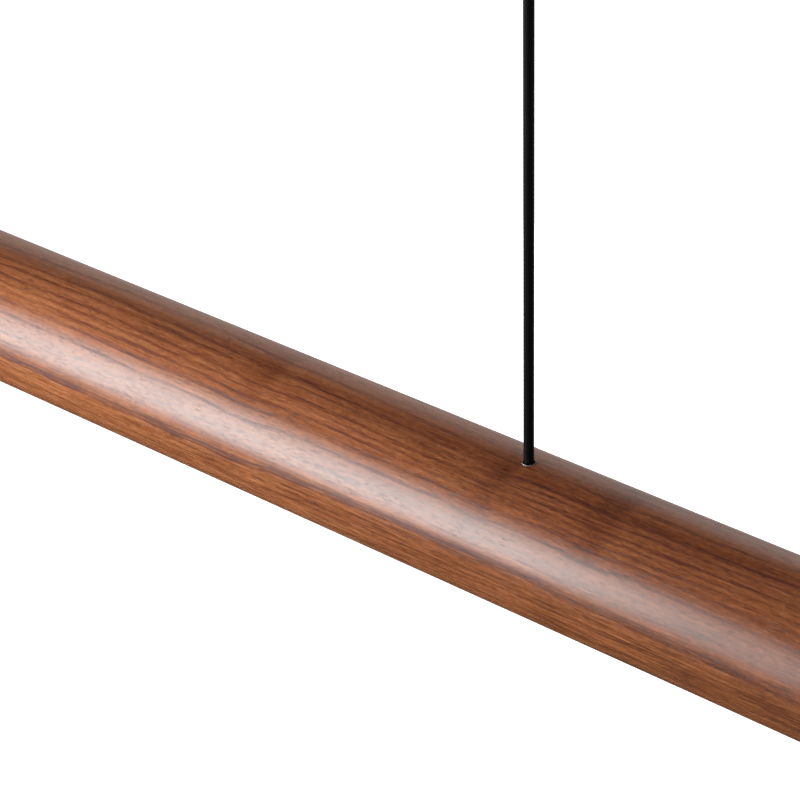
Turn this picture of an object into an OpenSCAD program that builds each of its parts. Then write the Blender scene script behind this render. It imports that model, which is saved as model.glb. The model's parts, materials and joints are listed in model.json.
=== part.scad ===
// Linear pendant lamp: a wooden tube that hangs level from two taut cords.
// Millimetres, +Z up, +X along the tube. The origin lies on the ceiling, midway between
// the two ceiling fittings, so everything hangs below z = 0.

/* [Tube] */
// Outside diameter of the wooden tube
tube_d = 80; // [78:1:96]
// Wall of the wooden tube
tube_wall = 5; // [4:0.5:6]
// Length of the wooden tube without its end caps
tube_len = 1184; // [1000:4:1600]
// Width of the light slot along the underside
slot_w = 44; // [41:1:46]
// Ring of whole wood left at each end of the slot
slot_margin = 24; // [16:1:60]
// Radius of the slot's corners
slot_corner_r = 4; // [1:0.5:8]

/* [End caps] */
// Thickness of the disc that closes the tube
cap_t = 8; // [6:0.5:14]
// Radius round the disc's outer edge
cap_edge_r = 1.5; // [0.5:0.25:3]
// Depth of the spigot that enters the tube
cap_spigot = 5; // [3:0.5:10]

/* [Carrier rail] */
// Wall of the extruded aluminium rail
rail_wall = 2; // [1.5:0.25:2.5]
// Depth of the rail's web below the tube's axis
web_drop = 5; // [3:0.5:7]
// Height of the curved feet that ride on the tube's bore
foot_h = 14; // [10:1:18]
// Distance of the screw ports from the ends of the web
port_inset = 7.7; // [6.5:0.1:9]
// Outside diameter of a screw port
port_d = 7.2; // [6.4:0.2:8]
// Width of the ledge that the lens clips over
ledge_w = 0.8; // [0.5:0.1:1.2]
// Height of that ledge
ledge_h = 1.5; // [1:0.25:2.5]

/* [Light] */
// Wall of the opal lens
lens_t = 2.2; // [1.6:0.2:3]
// Thickness of the lens's clips
clip_t = 1.6; // [1.2:0.1:2.2]
// Height of the barb on a clip
barb_h = 2; // [1.5:0.25:3]
// Width of a light board
board_w = 22; // [20:1:26]
// Thickness of a light board
board_t = 1.6; // [1:0.2:2]
// Gap between the two light boards
board_gap = 4; // [2:0.5:8]
// Distance between neighbouring light chips
chip_pitch = 20; // [12:1:40]
// Length of a chip along the board
chip_l = 3.5; // [2.8:0.1:5]
// Width of a chip across the board
chip_w = 2.8; // [2:0.1:5]
// Height of a chip
chip_h = 0.8; // [0.6:0.1:1.2]

/* [Driver] */
// Length of the driver's case
driver_l = 220; // [160:5:280]
// Width of the driver's case
driver_w = 40; // [36:1:44]
// Height of the driver's case
driver_h = 22; // [16:1:24]
// Length of the ear at each end of the case
driver_ear = 14; // [12:1:20]
// Thickness of the ears
ear_t = 2.5; // [2:0.5:4]
// Height of the case's tray, up to the seam of its lid
driver_tray_h = 15; // [10:0.5:15]
// Length of the cover over the wires at each end of the case
driver_cover = 26; // [20:1:40]
// Width and depth of the seams in the case
driver_seam = 0.8; // [0.5:0.1:1]

/* [Suspension] */
// Drop from the ceiling to the top of the tube
drop = 330; // [250:5:1500]
// Distance between the two cords
cord_gap = 800; // [700:10:900]
// Diameter of a cord
cord_d = 5; // [4:0.2:5.4]
// Wall of the thin metal ferrule that a cord enters
ferrule_wall = 0.4; // [0.35:0.05:1]
// Play between a cord and its ferrule, all round
ferrule_play = 0.6; // [0.5:0.05:0.9]
// Height of the ferrule's rim above the wood
ferrule_proud = 0.4; // [0.4:0.1:1.5]
// Length of a suspension saddle along the tube
saddle_l = 30; // [24:1:50]
// Outside width of a saddle between its feet
saddle_w = 24; // [22:1:28]
// Thickness of the saddle's crown
saddle_t = 4; // [3:0.5:6]
// Thickness of the saddle's legs and feet
saddle_wall = 3; // [2:0.5:3.5]
// Reach of a saddle's foot
saddle_foot = 9; // [8:0.5:10]
// Height of the nut under the saddle's crown
ferrule_nut_h = 4; // [3:0.5:5]
// Width of that nut across its flats
ferrule_nut_w = 12; // [11:0.5:13]
// Diameter of the clamp that grips a cord's lower end
clamp_d = 11; // [10:0.5:14]
// Height of that clamp
clamp_h = 10; // [8:0.5:11]

/* [Ceiling fittings] */
// Outside diameter of a canopy
canopy_d = 80; // [76:1:120]
// Height of a canopy
canopy_h = 34; // [32:1:60]
// Wall of a canopy
canopy_wall = 1.2; // [0.8:0.1:2]
// Radius of the canopy's lower edge
canopy_edge_r = 5; // [3:0.5:8]
// Width of the strap that is screwed to the ceiling
strap_w = 20; // [18:1:26]
// Thickness of the strap
strap_t = 2; // [1.5:0.25:2.5]
// Half length of the strap's lowered middle
plate_half = 17; // [15:0.5:19]
// Drop of the strap's middle below the ceiling
plate_drop = 18; // [17:0.5:19]
// Length of the strap's tabs inside the canopy
tab_h = 14; // [12:0.5:20]
// Depth of the canopy screws below the ceiling
side_screw_drop = 8; // [6:0.5:9]
// Distance between the two ceiling screws of a strap
screw_gap = 54; // [50:0.5:58]
// Diameter of a ceiling screw's hole
screw_hole_d = 4.5; // [4:0.1:5.5]
// Reach of the wing that carries the ceiling terminal
wing_l = 18; // [16:1:22]
// Width of that wing
wing_w = 24; // [20:1:30]

/* [Swivel outlets] */
// Outside diameter of the threaded nipple
nipple_d = 10; // [9.5:0.1:11]
// Play between a cord and the nipple's bore, all round
nipple_play = 0.7; // [0.4:0.05:0.9]
// Diameter of the nipple's head
head_d = 16; // [15:0.5:18]
// Height of the nipple's head
head_h = 6; // [5:0.5:9]
// Width of the nipple's nut across its flats
nipple_nut_w = 14; // [13:0.5:16]
// Height of the nipple's nut
nipple_nut_h = 4.5; // [4:0.25:5]
// Diameter of the stop that grips a cord's upper end
stop_d = 10; // [9:0.5:11]
// Height of that stop
stop_h = 7; // [6:0.25:7.5]
// Diameter of the swivel ball
ball_d = 14; // [13.4:0.1:14.6]
// Outside diameter of the socket cap under the canopy
socket_d = 22; // [20:0.5:28]
// Length of the outlet below the ball's centre
outlet_l = 16; // [13:0.5:24]
// Wall of the outlet at its neck and mouth
outlet_wall = 0.8; // [0.6:0.05:1]
// Sway across the tube, each way, in degrees
sway_across = 12; // [4:1:13]
// Sway along the tube, each way, in degrees
sway_along = 5; // [2:0.5:5.5]

/* [Terminals] */
// Length of a terminal block along its wires
terminal_l = 14; // [12:1:16]
// Width of a terminal block
terminal_w = 18; // [16:1:20]
// Height of a terminal block
terminal_h = 10; // [8:0.5:12]
// Diameter of the barrel round each wire way
terminal_barrel_d = 7; // [6:0.2:8]
// Diameter of the towers that hold the clamping screws
terminal_tower_d = 6; // [5.4:0.2:6.6]
// Distance of the lower terminal block from the cord
terminal_offset = 58; // [45:1:90]

/* [Fasteners] */
// Diameter of the small screws
m3_d = 3; // [2.5:0.1:3.2]
// Head diameter of the small screws
m3_head_d = 5.5; // [5:0.1:6]
// Head height of the small screws
m3_head_h = 1.8; // [1.4:0.1:2.4]
// Diameter of the larger screws
m4_d = 4; // [3.5:0.1:4.2]
// Head diameter of the larger screws
m4_head_d = 7.5; // [7:0.1:8]
// Head height of the larger screws
m4_head_h = 2.4; // [2:0.1:3]

/* [Clearances] */
// Between pieces that slide or push into one another
fit_gap = 0.3; // [0.2:0.05:0.4]
// Round a fastener, and between pieces that are screwed together
seat_gap = 0.1; // [0.05:0.01:0.15]

/* [Hidden] */
$fn = 96;
LEFT = -1;
RIGHT = 1;
SIDES = [LEFT, RIGHT];
EPS = 0.5;

// Colours
WALNUT = [0.47, 0.27, 0.17];
BLACK = [0.05, 0.05, 0.05];
STEEL = [0.68, 0.68, 0.70];
ALUMINIUM = [0.80, 0.81, 0.82];
BRASS = [0.80, 0.66, 0.36];
OPAL = [0.95, 0.95, 0.92];
WHITE = [0.92, 0.92, 0.92];
CHIP_YELLOW = [0.95, 0.85, 0.45];
LEAD_BROWN = [0.40, 0.24, 0.14];
LEAD_RED = [0.70, 0.12, 0.10];

// Tube and rail, seen along the tube with its axis at [0, 0]
tube_r = tube_d / 2;
bore_r = tube_r - tube_wall;
axis_z = -drop - tube_r;
slot_l = tube_len - 2 * slot_margin;
rail_r = bore_r - fit_gap;
rail_l = tube_len - 2 * (cap_spigot + fit_gap);
web_top = -web_drop + rail_wall / 2;
web_under = -web_drop - rail_wall / 2;
port_y = rail_r - port_inset;
port_bore_d = m4_d - 0.6;
leg_out = slot_w / 2 - fit_gap - seat_gap;
leg_in = leg_out - rail_wall;
leg_end = -sqrt(rail_r * rail_r - leg_out * leg_out) + fit_gap;
clip_out = leg_in - ledge_w - fit_gap + seat_gap;
clip_in = clip_out - clip_t;
barb_z = leg_end + ledge_h + fit_gap;

// Light boards
board_l = rail_l / 2 - board_gap;
board_mid = (board_l + board_gap) / 2;
chip_n = floor((board_l - chip_pitch) / chip_pitch) + 1;
board_screw_y = board_w / 2 - m3_head_d / 2 - 2 * seat_gap - fit_gap;
board_screw_edge = 12;
board_screw_x = [board_screw_edge - board_l / 2, 0, board_l / 2 - board_screw_edge];
link_l = 16;
link_w = 6;
link_h = 2.5;
link_y = -(chip_w / 2 + link_w / 2 + 1.5);

// Saddles, ferrules and the lower ends of the cords
cord_x = cord_gap / 2;
ferrule_id = cord_d + 2 * ferrule_play;
ferrule_od = ferrule_id + 2 * ferrule_wall;
nut_top = rail_r - saddle_t;
nut_under = nut_top - ferrule_nut_h;
ferrule_end = nut_under - seat_gap;
clamp_top = ferrule_end - seat_gap;
clamp_under = clamp_top - clamp_h;
tail_below = 4;
saddle_screw_y = saddle_w / 2 + saddle_foot / 2;
saddle_window_d = 8;
cord_sink = 3;
low_pivot = tube_r - cord_sink;

// Driver and lower terminal
driver_screw_y = driver_w / 2 - m3_head_d / 2 - 2;
driver_screw_x = (driver_l + driver_ear) / 2;
driver_corner_r = 3;
ear_fillet = 2;
peg_d = 3;
terminal_x = cord_x - terminal_offset;
terminal_corner_r = 1.5;
wire_hole_d = 2.6;
wire_pitch = 9;

// Ceiling fittings
canopy_r = canopy_d / 2;
tab_reach = canopy_r - canopy_wall - fit_gap;
tab_out = sqrt(tab_reach * tab_reach - strap_w * strap_w / 4);
strap_under = -plate_drop - strap_t;
nipple_top = -plate_drop + nipple_nut_h + fit_gap;
nipple_bore_d = cord_d + 2 * nipple_play;
stop_under = nipple_top + seat_gap;
stop_top = stop_under + stop_h;
cord_top = stop_top + 0.8;
head_under = -canopy_h - head_h;
ball_r = ball_d / 2;
socket_r = ball_r + fit_gap - seat_gap;
top_pivot = head_under - fit_gap - ball_r;
outlet_bore_r = cord_d / 2 + fit_gap;
flare = tan(sway_along + 0.5);
neck_r = outlet_bore_r + ball_r * flare + outlet_wall;
lip_r = neck_r / cos(sway_across) + ball_r * tan(sway_across) + fit_gap;
lip_drop = sqrt(socket_r * socket_r - lip_r * lip_r);
mouth_bore_r = outlet_bore_r + outlet_l * flare;
mouth_r = mouth_bore_r + outlet_wall;
socket_edge_r = 2;

// Leads inside the tube, as points round its axis, and wires inside the right canopy
lead_d = 2;
lead_sides = 8;
lead_steps = 3;
tail_z = clamp_under - tail_below;
driver_end = driver_l / 2;
SUPPLY_IN = [[400, 1.2, 12], [398, 1.6, 7], [390, 3, 3], [375, 4.5, 1], [360, 4.5, 1], [348, 4.5, 1]];
SUPPLY_ON = [[336, 4.5, 1], [325, 4.5, 0], [300, 5, -2.6], [240, 6, -2.6], [180, 5, -2.6],
             [140, 5, -1], [122, 5, 3], [109.9, 5, 4]];
LED_OUT = [[-109.9, 5, 4], [-122, 5.5, 3], [-138, 8, -1], [-150, 12, -2.5], [-158, 14.6, -2.8],
           [-162, 15, -5], [-162.5, 14.6, -8], [-163, 12.5, -9.4], [-164, 9.5, -8.7]];
LED_BACK = [[-109.9, 9, 4], [-122, 9.5, 3], [-140, 13, -1], [-152, 17, -2.4], [-161, 17.6, -2.6],
            [-166, 17, -5], [-166.4, 15.6, -8.2], [-167, 12.8, -9.6], [-168, 9.5, -8.7]];
CEILING_WIRE = [[0, 1.2, -5], [0.5, 1.4, -3.6], [3, 2.2, -2.4], [6.4, 3.4, -4], [7.6, 4.2, -8],
                [9, 4.5, -11.6], [13.6, 4.5, -13]];
lead_hole = [-164, 15.3];
lead_hole_l = 14;
lead_hole_w = 8;
lead_hole_r = 3;

// Helpers

// Draws a section that is given in Y and Z along the X axis
module along_x(length) {
    rotate([90, 0, 90]) linear_extrude(length, center = true) children();
}

// Places what is drawn round the tube's axis
module in_tube() {
    translate([0, 0, axis_z]) children();
}

// Places what is drawn round one cord, on the ceiling
module at_cord(side) {
    translate([side * cord_x, 0, 0]) children();
}

// A flat rectangle with round corners
module rounded_rect(l, w, r) {
    square([l - 2 * r, w], center = true);
    square([l, w - 2 * r], center = true);
    for (x = SIDES, y = SIDES) translate([x * (l / 2 - r), y * (w / 2 - r)]) circle(r);
}

// A half section with one round outer corner at the bottom
module round_edge_half(r, h, edge) {
    translate([0, -h + edge]) square([r, h - edge]);
    translate([0, -h]) square([r - edge, h]);
    translate([r - edge, -h + edge]) circle(edge);
}

// The prism of the light slot, drawn in by a margin on every side
module slot_prism(inset) {
    translate([0, 0, -tube_r - EPS])
        linear_extrude(tube_r + EPS)
            rounded_rect(slot_l - 2 * inset, slot_w - 2 * inset, slot_corner_r);
}

// A screw that points down, with its head's underside at the origin
module pan_screw(d, head_d, head_h, length) {
    cylinder(d = head_d, h = head_h);
    translate([0, 0, -length]) cylinder(d = d, h = length);
}

// A ring with a drilled middle
module drilled(d, bore, h) {
    difference() {
        cylinder(d = d, h = h);
        translate([0, 0, -EPS]) cylinder(d = bore, h = h + 2 * EPS);
    }
}

// A hexagonal nut on the XY plane
module hex_nut(flats, bore, h) {
    difference() {
        cylinder(d = flats / cos(30), h = h, $fn = 6);
        translate([0, 0, -EPS]) cylinder(d = bore, h = h + 2 * EPS);
    }
}

// Smooth curve through points, and a tube along it
function curve_point(p, i, t) =
    let (a = p[max(i - 1, 0)], b = p[i], c = p[i + 1], d = p[min(i + 2, len(p) - 1)])
    0.5 * (2 * b + (c - a) * t + (2 * a - 5 * b + 4 * c - d) * t * t + (3 * b - a - 3 * c + d) * t * t * t);
function smooth(p, steps) =
    [for (i = [0 : len(p) - 2]) for (s = [0 : steps - 1]) curve_point(p, i, s / steps), p[len(p) - 1]];
function unit(v) = v / norm(v);
function heading(p, i) = unit(p[min(i + 1, len(p) - 1)] - p[max(i - 1, 0)]);
function ring_point(p, i, angle, r) =
    let (t = heading(p, i), s = unit(cross(t, [0.3, 1, 0.2])), u = cross(t, s))
    p[i] + r * (cos(angle) * s + sin(angle) * u);
function mirrored(p) = [for (q = p) [q[0], -q[1], q[2]]];

module lead_tube(points, d) {
    path = smooth(points, lead_steps);
    n = len(path);
    rings = [
        for (i = [0 : n - 1]) for (k = [0 : lead_sides - 1])
            ring_point(path, i, k * 360 / lead_sides, d / 2)
    ];
    first = [for (k = [0 : lead_sides - 1]) k];
    last = [for (k = [lead_sides - 1 : -1 : 0]) (n - 1) * lead_sides + k];
    walls = [
        for (i = [0 : n - 2]) for (k = [0 : lead_sides - 1])
            let (a = i * lead_sides + k, b = i * lead_sides + (k + 1) % lead_sides)
            each [[a, a + lead_sides, b + lead_sides], [a, b + lead_sides, b]]
    ];
    polyhedron(rings, concat([first, last], walls));
}

// Tube and end caps

module wood_tube() {
    color(WALNUT) in_tube() difference() {
        along_x(tube_len) difference() {
            circle(tube_r);
            circle(bore_r);
        }
        slot_prism(0);
        for (side = SIDES) translate([side * cord_x, 0, 0])
            cylinder(d = ferrule_od + 2 * seat_gap, h = tube_r + EPS);
    }
}

module end_cap(side) {
    color(WALNUT) in_tube() translate([side * tube_len / 2, 0, 0]) rotate([0, side * 90, 0]) difference() {
        union() {
            rotate_extrude() mirror([0, 1]) round_edge_half(tube_r, cap_t, cap_edge_r);
            translate([0, 0, -cap_spigot]) cylinder(r = rail_r, h = cap_spigot + EPS);
        }
        for (y = SIDES) translate([side * web_drop, y * port_y, 0]) {
            translate([0, 0, -cap_spigot - EPS])
                cylinder(d = m4_d + 2 * seat_gap, h = cap_t + cap_spigot + 2 * EPS);
            translate([0, 0, cap_t - m4_head_h])
                cylinder(d1 = m4_d + 2 * seat_gap, d2 = m4_head_d + 2 * seat_gap, h = m4_head_h);
        }
    }
}

module end_cap_screws() {
    grip = 12;
    shank_d = port_bore_d - seat_gap;
    shank_l = cap_t + cap_spigot + grip;
    color(BLACK) in_tube() for (side = SIDES, y = SIDES)
        translate([side * (tube_len / 2 + cap_t), y * port_y, -web_drop]) rotate([0, side * 90, 0]) {
            translate([0, 0, -m4_head_h]) cylinder(d1 = m4_d, d2 = m4_head_d, h = m4_head_h);
            translate([0, 0, -shank_l]) cylinder(d = shank_d, h = shank_l - m4_head_h + seat_gap);
        }
}

// Carrier rail and light

module rail_section() {
    difference() {
        union() {
            translate([0, -web_drop]) square([2 * (rail_r - rail_wall), rail_wall], center = true);
            for (y = SIDES) translate([y * port_y, -web_drop]) circle(d = port_d);
            for (y = SIDES) intersection() {
                difference() {
                    circle(rail_r);
                    circle(rail_r - rail_wall);
                }
                translate([y * rail_r, -web_drop]) square([rail_r, foot_h], center = true);
            }
            for (y = [0, 1]) mirror([y, 0]) {
                translate([leg_in, leg_end]) square([rail_wall, web_under - leg_end + seat_gap]);
                translate([leg_in - ledge_w, leg_end]) square([ledge_w + seat_gap, ledge_h]);
            }
        }
        for (y = SIDES) translate([y * port_y, -web_drop]) circle(d = port_bore_d);
    }
}

module carrier_rail() {
    color(ALUMINIUM) in_tube() difference() {
        along_x(rail_l) rail_section();
        translate([0, 0, web_under - EPS]) {
            for (side = SIDES, x = board_screw_x) translate([side * board_mid + x, board_screw_y, 0])
                cylinder(d = m3_d + 2 * seat_gap, h = rail_wall + 2 * EPS);
            for (side = SIDES, y = SIDES) translate([side * cord_x, y * saddle_screw_y, 0])
                cylinder(d = m4_d + 2 * seat_gap, h = rail_wall + 2 * EPS);
            for (side = SIDES, y = SIDES) translate([side * driver_screw_x, y * driver_screw_y, 0])
                cylinder(d = m3_d + 2 * seat_gap, h = rail_wall + 2 * EPS);
            translate([terminal_x, 0, 0]) cylinder(d = peg_d + 2 * seat_gap, h = rail_wall + 2 * EPS);
            translate(lead_hole) linear_extrude(rail_wall + 2 * EPS)
                rounded_rect(lead_hole_l, lead_hole_w, lead_hole_r);
        }
    }
}

module lens_section() {
    half = slot_w / 2 - fit_gap;
    root_z = -sqrt(pow(tube_r - lens_t / 2, 2) - pow(clip_out - clip_t / 2, 2));
    intersection() {
        difference() {
            circle(tube_r);
            circle(tube_r - lens_t);
        }
        translate([-half, -tube_r - EPS]) square([2 * half, tube_r]);
    }
    for (y = [0, 1]) mirror([y, 0]) {
        translate([clip_in, root_z]) square([clip_t, barb_z + barb_h - root_z]);
        polygon([[clip_out - seat_gap, barb_z], [clip_out + ledge_w, barb_z],
                 [clip_out - seat_gap, barb_z + barb_h]]);
    }
}

module lens() {
    color(OPAL) in_tube() intersection() {
        along_x(slot_l) lens_section();
        slot_prism(fit_gap);
    }
}

module led_board(side) {
    color(WHITE) in_tube() translate([side * board_mid, 0, web_under - board_t]) difference() {
        translate([-board_l / 2, -board_w / 2, 0]) cube([board_l, board_w, board_t]);
        for (x = board_screw_x) translate([x, board_screw_y, -EPS])
            cylinder(d = m3_d + 2 * seat_gap, h = board_t + 2 * EPS);
    }
}

module led_chips() {
    color(CHIP_YELLOW) in_tube() for (side = SIDES, i = [0 : chip_n - 1])
        translate([side * board_mid + (i - (chip_n - 1) / 2) * chip_pitch, 0, web_under - board_t - chip_h])
            translate([-chip_l / 2, -chip_w / 2, 0]) cube([chip_l, chip_w, chip_h]);
}

module board_screws() {
    color(STEEL) in_tube() for (side = SIDES, x = board_screw_x)
        translate([side * board_mid + x, board_screw_y, web_under - board_t]) mirror([0, 0, 1])
            pan_screw(m3_d, m3_head_d, m3_head_h, board_t + rail_wall - seat_gap);
}

module board_link() {
    color(WHITE) in_tube() translate([-link_l / 2, link_y - link_w / 2, web_under - board_t - link_h])
        cube([link_l, link_w, link_h]);
}

// Driver, lower terminal and leads

// Seams where the lid meets the tray and where the two end covers meet the lid
module driver_seams() {
    translate([0, 0, driver_tray_h]) linear_extrude(driver_seam) difference() {
        square([2 * driver_l, 2 * driver_w], center = true);
        rounded_rect(driver_l - 2 * driver_seam, driver_w - 2 * driver_seam, driver_corner_r);
    }
    for (side = SIDES) translate([side * (driver_end - driver_cover), 0, driver_tray_h])
        along_x(driver_seam) difference() {
            translate([-driver_w, 0]) square([2 * driver_w, driver_h]);
            translate([driver_seam - driver_w / 2, -EPS])
                square([driver_w - 2 * driver_seam, driver_h - driver_tray_h - driver_seam + EPS]);
        }
}

module led_driver() {
    socket = [8, 22, 10];
    color(WHITE) in_tube() translate([0, 0, web_top]) difference() {
        union() {
            linear_extrude(driver_h) rounded_rect(driver_l, driver_w, driver_corner_r);
            linear_extrude(ear_t) rounded_rect(driver_l + 2 * driver_ear, driver_w, ear_fillet);
        }
        driver_seams();
        for (side = SIDES, y = SIDES) translate([side * driver_screw_x, y * driver_screw_y, -EPS])
            cylinder(d = m3_d + 2 * seat_gap, h = ear_t + 2 * EPS);
        for (side = SIDES) translate([side * driver_end - socket[0] / 2, -socket[1] / 2, ear_t + 1])
            cube(socket);
    }
}

module driver_screws() {
    color(STEEL) in_tube() for (side = SIDES, y = SIDES)
        translate([side * driver_screw_x, y * driver_screw_y, web_top + ear_t])
            pan_screw(m3_d, m3_head_d, m3_head_h, ear_t + rail_wall + 1);
}

// A block with a peg underneath and two poles: each has a barrel with a wire way right through it
// and two towers for the screws that clamp the wires
module terminal_block() {
    difference() {
        union() {
            linear_extrude(terminal_h / 2) rounded_rect(terminal_l, terminal_w, terminal_corner_r);
            translate([0, 0, -rail_wall + seat_gap]) cylinder(d = peg_d, h = rail_wall);
            for (y = SIDES) translate([0, y * wire_pitch / 2, 0]) {
                translate([0, 0, terminal_h / 2]) rotate([0, 90, 0])
                    cylinder(d = terminal_barrel_d, h = terminal_l, center = true);
                for (x = SIDES) translate([x * terminal_l / 4, 0, seat_gap])
                    cylinder(d = terminal_tower_d, h = terminal_h - seat_gap);
            }
        }
        for (y = SIDES) translate([0, y * wire_pitch / 2, terminal_h / 2]) {
            rotate([0, 90, 0]) cylinder(d = wire_hole_d, h = terminal_l + 2 * EPS, center = true);
            for (x = SIDES) translate([x * terminal_l / 4, 0, 0]) cylinder(d = m4_d, h = terminal_h);
        }
    }
}

module lower_terminal() {
    color(WHITE) in_tube() translate([terminal_x, 0, web_top]) terminal_block();
}

module supply_leads() {
    color(LEAD_BROWN) in_tube() for (p = [SUPPLY_IN, SUPPLY_ON]) {
        lead_tube(p, lead_d);
        lead_tube(mirrored(p), lead_d);
    }
}

module led_leads() {
    color(LEAD_RED) in_tube() {
        lead_tube(LED_OUT, lead_d);
        lead_tube(LED_BACK, lead_d);
    }
}

// Suspension inside the tube

module saddle_section() {
    intersection() {
        circle(rail_r);
        translate([-saddle_w / 2, nut_top]) square([saddle_w, saddle_t]);
    }
    for (y = [0, 1]) mirror([y, 0]) {
        translate([saddle_w / 2 - saddle_wall, web_top]) square([saddle_wall, nut_top - web_top + seat_gap]);
        translate([saddle_w / 2 - seat_gap, web_top]) square([saddle_foot + seat_gap, saddle_wall]);
    }
}

module saddle(side) {
    color(STEEL) in_tube() translate([side * cord_x, 0, 0]) difference() {
        along_x(saddle_l) saddle_section();
        translate([0, 0, nut_top - EPS]) cylinder(d = ferrule_od + 2 * seat_gap, h = saddle_t + 2 * EPS);
        for (y = SIDES) translate([0, y * saddle_screw_y, web_top - EPS])
            cylinder(d = m4_d + 2 * seat_gap, h = saddle_wall + 2 * EPS);
        translate([0, 0, clamp_under + clamp_h / 2]) rotate([90, 0, 0])
            cylinder(d = saddle_window_d, h = saddle_w + 2 * EPS, center = true);
    }
}

module saddle_screws() {
    color(STEEL) in_tube() for (side = SIDES, y = SIDES)
        translate([side * cord_x, y * saddle_screw_y, web_top + saddle_wall])
            pan_screw(m4_d, m4_head_d, m4_head_h, saddle_wall + rail_wall + 2);
}

module ferrule(side) {
    color(STEEL) in_tube() translate([side * cord_x, 0, 0]) rotate_extrude() {
        translate([ferrule_id / 2, ferrule_end])
            square([ferrule_wall, tube_r + ferrule_proud - ferrule_wall / 2 - ferrule_end]);
        translate([ferrule_id / 2 + ferrule_wall / 2, tube_r + ferrule_proud - ferrule_wall / 2])
            circle(d = ferrule_wall);
    }
}

module ferrule_nuts() {
    color(BRASS) in_tube() for (side = SIDES) translate([side * cord_x, 0, nut_under])
        hex_nut(ferrule_nut_w, ferrule_od + 2 * seat_gap, ferrule_nut_h);
}

// A ring that grips a cord with one grub screw along Y
module grip_ring(d, h, screw_d) {
    difference() {
        drilled(d, cord_d + 2 * seat_gap, h);
        translate([0, 0, h / 2]) rotate([90, 0, 0]) cylinder(d = screw_d + 2 * seat_gap, h = d);
    }
}

module grub_screw(d, screw_d) {
    rotate([90, 0, 0]) translate([0, 0, cord_d / 2 + seat_gap]) cylinder(d = screw_d, h = d / 2 - cord_d / 2);
}

module cord_clamp(side) {
    color(BRASS) in_tube() translate([side * cord_x, 0, clamp_under]) grip_ring(clamp_d, clamp_h, m4_d);
}

module clamp_screws() {
    color(BLACK) in_tube() for (side = SIDES)
        translate([side * cord_x, 0, clamp_under + clamp_h / 2]) grub_screw(clamp_d, m4_d);
}

module cord_tail(side) {
    top = low_pivot - cord_d / 2 - fit_gap;
    color(BLACK) in_tube() translate([side * cord_x, 0, tail_z]) cylinder(d = cord_d, h = top - tail_z);
}

// The taut cord between the two points where it bends, round at both ends
module cord(side) {
    foot_z = axis_z + low_pivot;
    color(BLACK) at_cord(side) {
        translate([0, 0, foot_z]) cylinder(d = cord_d, h = top_pivot - foot_z);
        for (z = [foot_z, top_pivot]) translate([0, 0, z]) sphere(d = cord_d);
    }
}

// Ceiling fittings

// A ball with a bell-mouthed neck: the ball tips in its socket, the cord in the bell
module swivel_outlet(side) {
    color(BLACK) at_cord(side) translate([0, 0, top_pivot]) difference() {
        union() {
            sphere(ball_r);
            translate([0, 0, -outlet_l]) cylinder(r = neck_r, h = outlet_l);
            translate([0, 0, -outlet_l]) cylinder(r1 = mouth_r, r2 = neck_r, h = outlet_l - ball_r);
        }
        translate([0, 0, -EPS]) cylinder(r = outlet_bore_r, h = ball_d);
        translate([0, 0, -outlet_l - EPS])
            cylinder(r1 = mouth_bore_r + EPS * flare, r2 = outlet_bore_r, h = outlet_l + EPS);
    }
}

module socket_half() {
    socket_h = -canopy_h - (top_pivot - lip_drop);
    difference() {
        translate([0, -canopy_h]) round_edge_half(socket_d / 2, socket_h, socket_edge_r);
        translate([-EPS, head_under]) square([head_d / 2 + seat_gap + EPS, head_h + EPS]);
        translate([-EPS, top_pivot]) square([socket_r + EPS, head_under - top_pivot + EPS]);
        translate([0, top_pivot]) circle(socket_r);
    }
}

module socket_cap(side) {
    color(BLACK) at_cord(side) rotate_extrude() intersection() {
        socket_half();
        translate([0, -2 * canopy_h]) square(2 * canopy_h);
    }
}

module nipple(side) {
    color(STEEL) at_cord(side) difference() {
        union() {
            translate([0, 0, -canopy_h - EPS]) cylinder(d = nipple_d, h = nipple_top + canopy_h + EPS);
            translate([0, 0, head_under]) cylinder(d = head_d, h = head_h);
        }
        translate([0, 0, head_under - EPS])
            cylinder(d = nipple_bore_d, h = nipple_top - head_under + 2 * EPS);
    }
}

module nipple_nuts() {
    color(STEEL) for (side = SIDES) at_cord(side) translate([0, 0, -plate_drop])
        hex_nut(nipple_nut_w, nipple_d + 2 * seat_gap, nipple_nut_h);
}

module cord_stop(side) {
    color(BRASS) at_cord(side) translate([0, 0, stop_under]) grip_ring(stop_d, stop_h, m3_d);
}

module stop_screws() {
    color(BLACK) for (side = SIDES) at_cord(side)
        translate([0, 0, stop_under + stop_h / 2]) grub_screw(stop_d, m3_d);
}

module cord_end(side) {
    under = head_under + seat_gap;
    color(BLACK) at_cord(side) translate([0, 0, under]) cylinder(d = cord_d, h = cord_top - under);
}

module strap_section() {
    for (y = [0, 1]) mirror([y, 0]) {
        translate([plate_half - strap_t, -strap_t]) square([tab_out - plate_half + strap_t, strap_t]);
        translate([plate_half - strap_t, strap_under]) square([strap_t, plate_drop + strap_t]);
        translate([tab_out - strap_t, -tab_h]) square([strap_t, tab_h]);
    }
    translate([-plate_half, strap_under]) square([2 * plate_half, strap_t]);
}

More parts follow.
